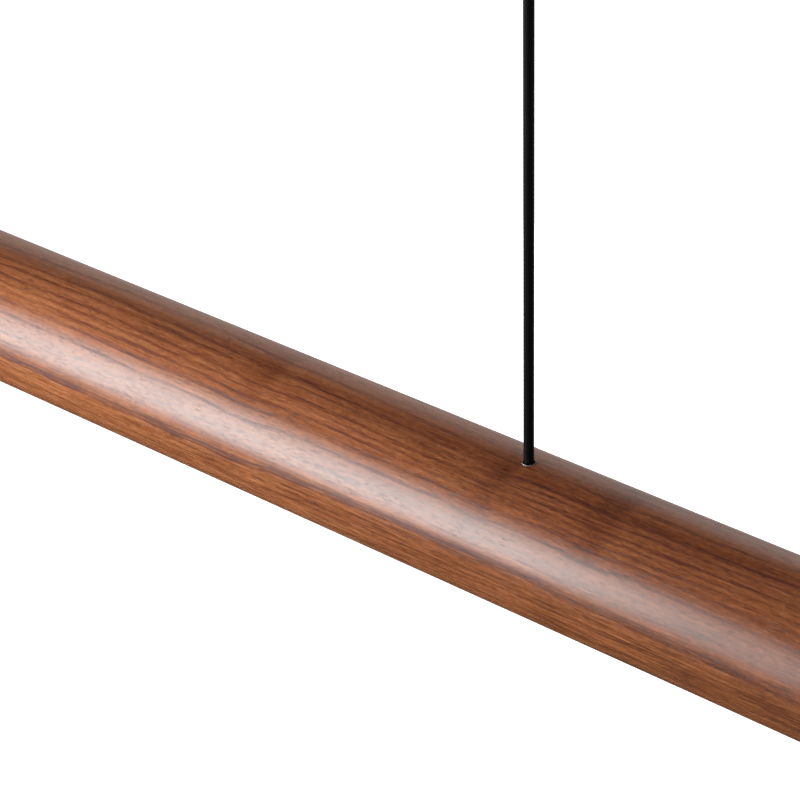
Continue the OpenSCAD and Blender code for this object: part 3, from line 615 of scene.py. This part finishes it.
def braided(name, x, foot, top, crown_r, round_ends):
    """A straight braided cord along Z, with its ends rounded or cut square."""
    levels = np.linspace(foot, top, round((top - foot) / CORD_STEP))
    width = np.ones(len(levels))
    if round_ends:
        reach = CORD_D / 2 * np.cos(CORD_CAP)
        levels = np.concatenate([foot - reach, levels, top + reach[::-1]])
        width = np.concatenate([np.sin(CORD_CAP), width, np.sin(CORD_CAP[::-1])])
    turn = np.linspace(0, 2 * math.pi, CORD_ROUND, endpoint=False)
    bulk = crown_r - BRAID_RELIEF + BRAID_RELIEF * braid(turn[None, :], levels[:, None])
    bulk = bulk * width[:, None]
    height = np.repeat(levels[:, None], CORD_ROUND, 1)
    return grid_mesh(name, np.stack([x + bulk * np.cos(turn), bulk * np.sin(turn), height], -1))


def make_cord(side, sign):
    """The taut stretch of a cord, and its two ends inside the ceiling fitting and the tube."""
    x = sign * CORD_X
    name = f"cord_braided_{side}"
    mesh = braided(name, x, CORD_FOOT, CORD_TOP, CORD_D / 2 + BRAID_PROUD, True)
    piece = new_piece(name, mesh, f"cord_{side}")
    for part in ("cord_end", "cord_tail"):
        low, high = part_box(f"{part}_{side}")
        mesh = braided(f"{part}_braided_{side}", x, low.z, high.z, CORD_D / 2, False)
        new_piece(f"{part}_braided_{side}", mesh, f"{part}_{side}")


for side, sign in SIDES.items():
    make_cord(side, sign)


# Wooden tube

TUBE_ROUND = 240
TUBE_ROWS = 149
SLOT_LEN = 1136 * MM
SLOT_WIDTH = 44 * MM
SLOT_CORNER = 4 * MM
SLOT_FOOT = AXIS_Z - 1.2 * TUBE_R
HOLE_GAP = 0.1 * MM
HOLE_R = FERRULE_R + HOLE_GAP
HOLE_ROUND = 96
SINK_DEPTH = 0.4 * MM
SINK_ABOVE = 1 * MM
SINK_SPREAD = 0.9 * MM
EASE = 0.4 * MM
TUBE_SHARP = math.radians(25)


def tube_blank():
    """The tube before its slot and cord holes, with eased edges at both ends."""
    half = TUBE_LEN / 2
    turn = np.linspace(0, 2 * math.pi, TUBE_ROUND, endpoint=False)
    outline = [(-half, TUBE_R - EASE)]
    outline += [(x, TUBE_R) for x in np.linspace(EASE - half, half - EASE, TUBE_ROWS)]
    outline += [(half, TUBE_R - EASE), (half, BORE_R), (-half, BORE_R)]
    rings = [
        np.stack([np.full(TUBE_ROUND, x), r * np.cos(turn), AXIS_Z + r * np.sin(turn)], -1)
        for x, r in outline
    ]
    return grid_mesh("walnut_tube", np.stack(rings), closed_rows=True)


def slot_cutter():
    """The prism of the light slot, from below the tube up to its axis."""
    corner = np.radians(np.linspace(0, 90, 9))
    outline = []
    for number, (x, y) in enumerate(((1, 1), (-1, 1), (-1, -1), (1, -1))):
        for angle in corner + number * math.pi / 2:
            outline.append((x * (SLOT_LEN / 2 - SLOT_CORNER) + SLOT_CORNER * math.cos(angle),
                            y * (SLOT_WIDTH / 2 - SLOT_CORNER) + SLOT_CORNER * math.sin(angle)))
    rings = [[(x, y, z) for x, y in outline] for z in (SLOT_FOOT, AXIS_Z)]
    return grid_mesh("slot", np.array(rings))


def hole_cutter(x):
    """A drill with a slight countersink at the wood's surface."""
    crown = AXIS_Z + TUBE_R
    turn = np.linspace(0, 2 * math.pi, HOLE_ROUND, endpoint=False)
    outline = [(AXIS_Z, HOLE_R), (crown - SINK_DEPTH, HOLE_R)]
    outline += [(crown + SINK_ABOVE, HOLE_R + SINK_SPREAD)]
    rings = [
        np.stack([x + r * np.cos(turn), r * np.sin(turn), np.full(HOLE_ROUND, z)], -1)
        for z, r in outline
    ]
    return grid_mesh("drill", np.stack(rings))


def cut(mesh, cutters):
    """A mesh with the cutters' meshes taken out of it."""
    piece = bpy.data.objects.new("blank", mesh)
    scene.collection.objects.link(piece)
    for cutter in cutters:
        tool = bpy.data.objects.new("tool", cutter)
        scene.collection.objects.link(tool)
        step = piece.modifiers.new("cut", "BOOLEAN")
        step.operation, step.solver, step.object = "DIFFERENCE", "EXACT", tool
        graph = bpy.context.evaluated_depsgraph_get()
        piece.data = bpy.data.meshes.new_from_object(piece.evaluated_get(graph))
        piece.modifiers.clear()
        bpy.data.objects.remove(tool)
        bpy.data.meshes.remove(cutter)
    done = piece.data
    bpy.data.objects.remove(piece)
    return done


def make_tube():
    holes = [hole_cutter(sign * CORD_X) for sign in SIDES.values()]
    mesh = cut(tube_blank(), [slot_cutter(), *holes])
    mesh.name = "walnut_tube"
    mesh.shade_smooth()
    mesh.set_sharp_from_angle(angle=TUBE_SHARP)
    new_piece("walnut_tube", mesh, "wood_tube")


make_tube()


# Screws and nuts

ROUND = 48
TURN = np.linspace(0, 2 * math.pi, ROUND, endpoint=False)
SHARP = math.radians(30)
# Threads: depth as a share of the pitch, and rows in a turn
THREAD_DEPTH = 0.55
THREAD_ROWS = 6
# Sizes of screws: radius of the shank and the head, height of the head, socket, pitch. The profiles
# below are rows, each a height and a radius, as shares of these
M3 = {"shank": 1.5 * MM, "head": 2.75 * MM, "rise": 1.8 * MM, "socket": 2.0 * MM, "pitch": 0.5 * MM}
M4 = {"shank": 2.0 * MM, "head": 3.75 * MM, "rise": 2.4 * MM, "socket": 2.5 * MM, "pitch": 0.7 * MM}
END_SCREW_LEN = 25 * MM
END_SCREW_R = 1.65 * MM
CANOPY_SCREW_LEN = 5.8 * MM
# Nuts: node, radius of the bore, pitch
NUTS = [("ferrule_nuts", FERRULE_R, 0.5 * MM), ("nipple_nuts", 5 * MM, 1.0 * MM)]


def hexagon(flats):
    """Radius of a hexagon, given across its flats, at each angle."""
    sixth = math.pi / 3
    return flats / 2 / np.cos((TURN + sixth / 2) % sixth - sixth / 2)


def thread(r, low, high, pitch):
    """Rows of an outside thread between two heights, each a height and its radii."""
    rows = []
    for z in np.arange(low, high, pitch / THREAD_ROWS):
        phase = (z / pitch - TURN / (2 * math.pi)) % 1
        rows.append((z, r - THREAD_DEPTH * pitch * np.abs(2 * phase - 1)))
    return rows


def shank(size, length, r):
    """Rows of a threaded shank that ends under its head at height 0."""
    tip = [(-length, 0.6 * r), (-length + 0.3 * r, 0.8 * r)]
    return tip + thread(r, -length + 0.4 * r, -0.4 * r, size["pitch"]) + [(-0.2 * r, 0.8 * r)]


def socket(size, top):
    """Rows of a hexagon socket, from its rim down to its bottom."""
    hollow = hexagon(size["socket"])
    bottom = top - 0.7 * size["rise"]
    return [(top, 1.08 * hollow), (top - 0.06 * size["rise"], hollow), (bottom, hollow),
            (bottom - 0.1 * size["rise"], 0.2 * hollow)]


def pan_screw(size, length):
    """Rows of a screw with a rounded head, from its tip to the bottom of its socket."""
    r, rise = size["head"], size["rise"]
    edge = 0.35 * rise
    bow = np.radians(np.linspace(0, 90, 6))
    head = [(0.0, 0.8 * size["shank"]), (0.0, r - 0.1 * edge), (0.1 * edge, r)]
    head += [(rise - edge + edge * math.sin(a), r - edge + edge * math.cos(a)) for a in bow]
    return shank(size, length, size["shank"]) + head + socket(size, rise)


def flush_screw(size, length, shank_r):
    """Rows of a countersunk screw whose head ends at height 0."""
    rise, edge = size["rise"], 0.08 * size["rise"]
    rows = [(z - rise, r) for z, r in shank(size, length - rise, shank_r)]
    rows += [(-rise, size["shank"]), (-edge, size["head"] - 0.5 * edge), (0.0, size["head"] - edge)]
    return rows + socket(size, 0.0)


def grub_screw(size, length):
    """Rows of a headless screw, from its point at height 0 to the bottom of its socket."""
    r = size["shank"]
    rows = [(0.0, 0.5 * r), (0.2 * r, 0.8 * r)]
    rows += thread(r, 0.25 * r, length - 0.25 * r, size["pitch"])
    rows += [(length - 0.2 * r, 0.85 * r), (length, 0.75 * r)]
    return rows + socket({**size, "socket": r}, length)


def hex_nut(flats, bore, height, pitch):
    """Rows of a nut with chamfered corners, closed through its threaded bore."""
    steps = np.linspace(0, 0.1 * flats / 2, 5)
    outside = hexagon(flats)
    chamfer = [(z, np.minimum(outside, 0.97 * flats / 2 + 2 * z)) for z in steps]
    inside = thread(bore + 0.3 * pitch, 0.3 * pitch, height - 0.3 * pitch, pitch)
    rows = [(0.0, bore + 0.4 * pitch)] + chamfer
    rows += [(height - z, r) for z, r in chamfer[::-1]] + [(height, bore + 0.4 * pitch)]
    return rows + inside[::-1]


def turned(rows, at, up=(0, 0, 1)):
    """Points of rows that lie round an axis, which starts at a point and runs up a direction."""
    radii = np.stack([np.broadcast_to(r, ROUND) for z, r in rows])
    heights = np.stack([np.full(ROUND, z) for z, r in rows])
    local = np.stack([radii * np.cos(TURN), radii * np.sin(TURN), heights], -1)
    facing = np.array(Vector(up).to_track_quat("Z", "Y").to_matrix())
    return local @ facing.T + np.array(at)


def fasteners(node, grids, closed_rows=False):
    """One piece for a node that holds a group of like fasteners."""
    mesh = grid_mesh(f"{node}_threaded", *grids, closed_rows=closed_rows)
    mesh.set_sharp_from_angle(angle=SHARP)
    new_piece(f"{node}_threaded", mesh, node)


def corners(x, y):
    """The four places at plus and minus x and y, with the signs that they have."""
    return [(sx * x, sy * y, sx, sy) for sx in (-1, 1) for sy in (-1, 1)]


def make_end_cap_screws():
    low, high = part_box("end_cap_screws")
    y, z = high.y - M4["head"], (low.z + high.z) / 2
    rows = flush_screw(M4, END_SCREW_LEN, END_SCREW_R)
    grids = [turned(rows, (px, py, z), (sx, 0, 0)) for px, py, sx, sy in corners(high.x, y)]
    fasteners("end_cap_screws", grids)


def make_canopy_screws():
    low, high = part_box("canopy_screws")
    y, z = high.y - M3["rise"], (low.z + high.z) / 2
    rows = pan_screw(M3, CANOPY_SCREW_LEN)
    grids = [turned(rows, (px, py, z), (0, sy, 0)) for px, py, sx, sy in corners(CORD_X, y)]
    fasteners("canopy_screws", grids)


def make_rail_screws():
    """Screws that stand in the rail's web: those of the driver and of the saddles."""
    for node, size in (("driver_screws", M3), ("saddle_screws", M4)):
        low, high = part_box(node)
        z = high.z - size["rise"]
        rows = pan_screw(size, z - low.z)
        spots = corners(high.x - size["head"], high.y - size["head"])
        fasteners(node, [turned(rows, (px, py, z)) for px, py, sx, sy in spots])


def make_board_screws():
    low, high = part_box("board_screws")
    y, z = (low.y + high.y) / 2, low.z + M3["rise"]
    rows = pan_screw(M3, high.z - z)
    spots = []
    for side in SIDES:
        board_low, board_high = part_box(f"led_board_{side}")
        middle = (board_low.x + board_high.x) / 2
        reach = high.x - M3["head"] - abs(middle)
        spots += [middle - reach, middle, middle + reach]
    fasteners("board_screws", [turned(rows, (x, y, z), (0, 0, -1)) for x in spots])


def make_grub_screws():
    for node, size in (("clamp_screws", M4), ("stop_screws", M3)):
        low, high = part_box(node)
        rows = grub_screw(size, high.y - low.y)
        spots = [(sign * CORD_X, high.y, (low.z + high.z) / 2) for sign in SIDES.values()]
        fasteners(node, [turned(rows, at, (0, -1, 0)) for at in spots])


def make_nuts():
    for node, bore, pitch in NUTS:
        low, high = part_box(node)
        rows = hex_nut(high.y - low.y, bore, high.z - low.z, pitch)
        spots = [(sign * CORD_X, 0, low.z) for sign in SIDES.values()]
        fasteners(node, [turned(rows, at) for at in spots], closed_rows=True)


make_end_cap_screws()
make_canopy_screws()
make_rail_screws()
make_board_screws()
make_grub_screws()
make_nuts()


# Leads

# Routes of the leads in millimetres: inside the tube round its axis, in the canopy round the cord
SUPPLY_IN = [(400, 1.2, 12), (398, 1.6, 7), (390, 3, 3), (375, 4.5, 1), (360, 4.5, 1),
             (348, 4.5, 1)]
SUPPLY_ON = [(336, 4.5, 1), (325, 4.5, 0), (300, 5, -2.6), (240, 6, -2.6), (180, 5, -2.6),
             (140, 5, -1), (122, 5, 3), (109.9, 5, 4)]
LED_OUT = [(-109.9, 5, 4), (-122, 5.5, 3), (-138, 8, -1), (-150, 12, -2.5), (-158, 14.6, -2.8),
           (-162, 15, -5), (-162.5, 14.6, -8), (-163, 12.5, -9.4), (-164, 9.5, -8.7)]
LED_BACK = [(-109.9, 9, 4), (-122, 9.5, 3), (-140, 13, -1), (-152, 17, -2.4), (-161, 17.6, -2.6),
            (-166, 17, -5), (-166.4, 15.6, -8.2), (-167, 12.8, -9.6), (-168, 9.5, -8.7)]
CEILING_WIRE = [(0, 1.2, -5), (0.5, 1.4, -3.6), (3, 2.2, -2.4), (6.4, 3.4, -4), (7.6, 4.2, -8),
                (9, 4.5, -11.6), (13.6, 4.5, -13)]
LEAD_R = 1.0 * MM
LEAD_ROUND = 20
LEAD_STEPS = 10
LEAD_TIP = 0.85
# A direction that no lead takes
LEAD_ASIDE = (0.3, 1.0, 0.2)


def smooth_path(points):
    """A smooth curve through points, as many more points."""
    p = np.array(points, float)
    p = np.concatenate([p[:1], p, p[-1:]])
    t = np.linspace(0, 1, LEAD_STEPS, endpoint=False)[:, None]
    runs = []
    for a, b, c, d in zip(p, p[1:], p[2:], p[3:]):
        square, cube = 2 * a - 5 * b + 4 * c - d, 3 * b - a - 3 * c + d
        runs.append(0.5 * (2 * b + (c - a) * t + square * t ** 2 + cube * t ** 3))
    return np.concatenate([*runs, p[-1:]])


def lead(points, at, mirror):
    """Points of a round lead along a route, with slightly rounded ends."""
    path = smooth_path(points) * (MM, mirror * MM, MM) + np.array(at)
    heading = np.gradient(path, axis=0)
    heading /= np.linalg.norm(heading, axis=1)[:, None]
    aside = np.cross(heading, np.multiply(LEAD_ASIDE, (1, mirror, 1)))
    aside /= np.linalg.norm(aside, axis=1)[:, None]
    above = np.cross(heading, aside)
    radii = np.full(len(path), LEAD_R)
    radii[[0, -1]] *= LEAD_TIP
    turn = np.linspace(0, 2 * math.pi, LEAD_ROUND, endpoint=False)[None, :, None]
    ring = np.cos(turn) * aside[:, None] + np.sin(turn) * above[:, None]
    return path[:, None] + radii[:, None, None] * ring


def make_leads():
    tube_at, canopy_at = (0, 0, AXIS_Z), (CORD_X, 0, 0)
    groups = {
        "supply_leads": [lead(p, tube_at, m) for p in (SUPPLY_IN, SUPPLY_ON) for m in (1, -1)],
        "led_leads": [lead(p, tube_at, 1) for p in (LED_OUT, LED_BACK)],
        "ceiling_wires": [lead(CEILING_WIRE, canopy_at, m) for m in (1, -1)],
    }
    for node, grids in groups.items():
        mesh = grid_mesh(f"{node}_round", *grids)
        mesh.set_sharp_from_angle(angle=SHARP)
        new_piece(f"{node}_round", mesh, node)


make_leads()


# Eased edges

# How far the sharp edges of these CAD nodes are rounded, in millimetres
EASED = {
    "canopy_left": 0.3, "canopy_right": 0.3, "ceiling_strap_left": 0.3, "ceiling_strap_right": 0.3,
    "led_driver": 0.25, "saddle_left": 0.3, "saddle_right": 0.3, "nipple_left": 0.25,
    "nipple_right": 0.25, "cord_stop_left": 0.3, "cord_stop_right": 0.3, "cord_clamp_left": 0.3,
    "cord_clamp_right": 0.3, "board_link": 0.3, "led_board_left": 0.15, "led_board_right": 0.15,
    "led_chips": 0.1, "carrier_rail": 0.15, "lens": 0.2, "socket_cap_left": 0.2,
    "socket_cap_right": 0.2, "end_cap_left": 0.25, "end_cap_right": 0.25,
}
WELD = 0.002 * MM
FLAT = math.radians(0.3)
EASED_SHARP = math.radians(50)


def ease(node, width):
    """A copy of a CAD node whose sharp edges are rounded a little."""
    bm = bmesh.new()
    bm.from_mesh(NODES[node].data)
    bmesh.ops.remove_doubles(bm, verts=bm.verts, dist=WELD)
    bmesh.ops.dissolve_limit(bm, angle_limit=FLAT, verts=bm.verts, edges=bm.edges)
    sharp = [e for e in bm.edges if e.is_manifold and e.calc_face_angle() > SHARP]
    bmesh.ops.bevel(bm, geom=sharp, offset=width, offset_type="OFFSET", segments=2, profile=0.5,
                    affect="EDGES", clamp_overlap=False)
    mesh = bpy.data.meshes.new(f"{node}_eased")
    bm.to_mesh(mesh)
    bm.free()
    mesh.shade_smooth()
    mesh.set_sharp_from_angle(angle=EASED_SHARP)
    piece = new_piece(f"{node}_eased", mesh, node)
    flats = piece.modifiers.new("flats", "WEIGHTED_NORMAL")
    flats.mode, flats.keep_sharp = "FACE_AREA", True


for node, width in EASED.items():
    ease(node, width * MM)


# Finishes of the CAD nodes that stay

for name, node in NODES.items():
    node.data.materials[0] = FINISH[LOOKS[name]]


# Stage

FLOOR_Z = -1.1
FLOOR_REACH = 15.0
FLOOR_CORNERS = [(-1, -1), (1, -1), (1, 1), (-1, 1)]
FLOOR_GREY = (0.75, 0.75, 0.75, 1)
# Where the floor near the part turns into the floor far from it, and for both: what the eye gets on
# top of the lamps' light, and what reflections get
FLOOR_FAR = (0.8, 2.2)
FLOOR_SEEN = (0.84, 0.92)
FLOOR_MIRRORED = (0.02, 0.44)
# The backdrop in reflections, by height and from left to right: where it turns, and its levels
BACKDROP_UP = (0.36, 0.58, 0.58, 0.02)
BACKDROP_ACROSS = (-0.53, -0.46, 0.85, 1.25)
AMBIENT = 0.25
# Lamps: name, place, aim, width, height, watts, fade at the lower and upper edge, in reflections
LAMPS = [
    ("key", (-0.49, -0.975, -0.15), (0.25, 0, AXIS_Z), 0.74, 1.52, 39.2, (0.31, 0.59), True),
    ("key_edge", (0.02, -1.25, -0.14), (0.45, 0, AXIS_Z), 0.45, 1.50, 5.4, (0.31, 0.59), True),
    ("back", (1.25, 1.25, 0.1), (0.5, 0, AXIS_Z), 0.9, 0.9, 9.5, (0.1, 0.1), False),
    ("rear", (0.0, 1.5, -0.9), (0.0, 0, AXIS_Z), 1.4, 0.5, 13.0, (0.1, 0.1), False),
    ("top", (0.0, 0.15, 1.6), (0.0, 0.0, AXIS_Z), 1.6, 1.0, 7.5, (0.1, 0.1), False),
]


def near_to_far(s, far, levels):
    """A level that goes from the near one to the far one."""
    near_level, far_level = levels
    return s.math("MULTIPLY_ADD", far, far_level - near_level, near_level)


def make_floor():
    """A pale floor, seen as white from above and not seen from below."""
    corner_points = [(x * FLOOR_REACH, y * FLOOR_REACH, FLOOR_Z) for x, y in FLOOR_CORNERS]
    mesh = bpy.data.meshes.new("floor")
    mesh.from_pydata(corner_points, [], [(0, 1, 2, 3)])
    floor = bpy.data.objects.new("floor", mesh)
    scene.collection.objects.link(floor)
    s = new_finish("pale_floor")
    path = s.add("ShaderNodeLightPath").outputs
    mirrored = s.math("ADD", path["Is Glossy Ray"], path["Is Transmission Ray"])
    x, y, z = s.split(s.coords())
    distance = s.math("SQRT", s.math("MULTIPLY_ADD", x, x, s.math("MULTIPLY", y, y)))
    far = s.range(distance, *FLOOR_FAR)
    fill = s.math("MULTIPLY", path["Is Camera Ray"], near_to_far(s, far, FLOOR_SEEN))
    matt = s.add("ShaderNodeBsdfDiffuse", {"Color": FLOOR_GREY}).outputs[0]
    lit = s.add("ShaderNodeAddShader", {0: matt, 1: s.glow(fill)}).outputs[0]
    shown = s.blend(mirrored, lit, s.glow(near_to_far(s, far, FLOOR_MIRRORED)))
    below = s.add("ShaderNodeNewGeometry").outputs["Backfacing"]
    clear = s.add("ShaderNodeBsdfTransparent").outputs[0]
    mesh.materials.append(s.show(s.blend(below, shown, clear)))


def make_world():
    """White backdrop to the eye and in reflections near the horizon, dim studio above."""
    scene.world = bpy.data.worlds.new("studio")
    s = Shader(scene.world, "ShaderNodeOutputWorld")
    path = s.add("ShaderNodeLightPath").outputs
    mirrored = s.math("ADD", path["Is Glossy Ray"], path["Is Transmission Ray"])
    x, y, z = s.split(s.add("ShaderNodeTexCoord").outputs["Generated"])
    ambient = s.glow(AMBIENT, "ShaderNodeBackground")
    pale = s.math("MULTIPLY", s.range(z, *BACKDROP_UP), s.range(x, *BACKDROP_ACROSS))
    backdrop = s.glow(pale, "ShaderNodeBackground")
    white = s.glow(1.0, "ShaderNodeBackground")
    s.show(s.blend(path["Is Camera Ray"], s.blend(mirrored, ambient, backdrop), white))


def softbox(name, at, aim, width, height, watts, fade, mirrored):
    """A rectangular studio lamp that fades towards two edges and that the camera doesn't see."""
    data = bpy.data.lights.new(name, "AREA")
    data.shape = "RECTANGLE"
    data.size, data.size_y = width, height
    data.energy = watts
    s = Shader(data, "ShaderNodeOutputLight")
    x, y, z = s.split(s.add("ShaderNodeNewGeometry").outputs["Parametric"])
    lower, upper = fade
    soft = s.math("MULTIPLY", s.range(y, 0.0, lower), s.range(y, 1.0 - upper, 1.0, 1.0, 0.0))
    s.show(s.glow(soft))
    lamp = bpy.data.objects.new(name, data)
    lamp.location = at
    lamp.rotation_euler = (Vector(aim) - Vector(at)).to_track_quat("-Z", "Y").to_euler()
    lamp.visible_camera = False
    lamp.visible_glossy = mirrored
    scene.collection.objects.link(lamp)


make_floor()
make_world()
for lamp in LAMPS:
    softbox(*lamp)
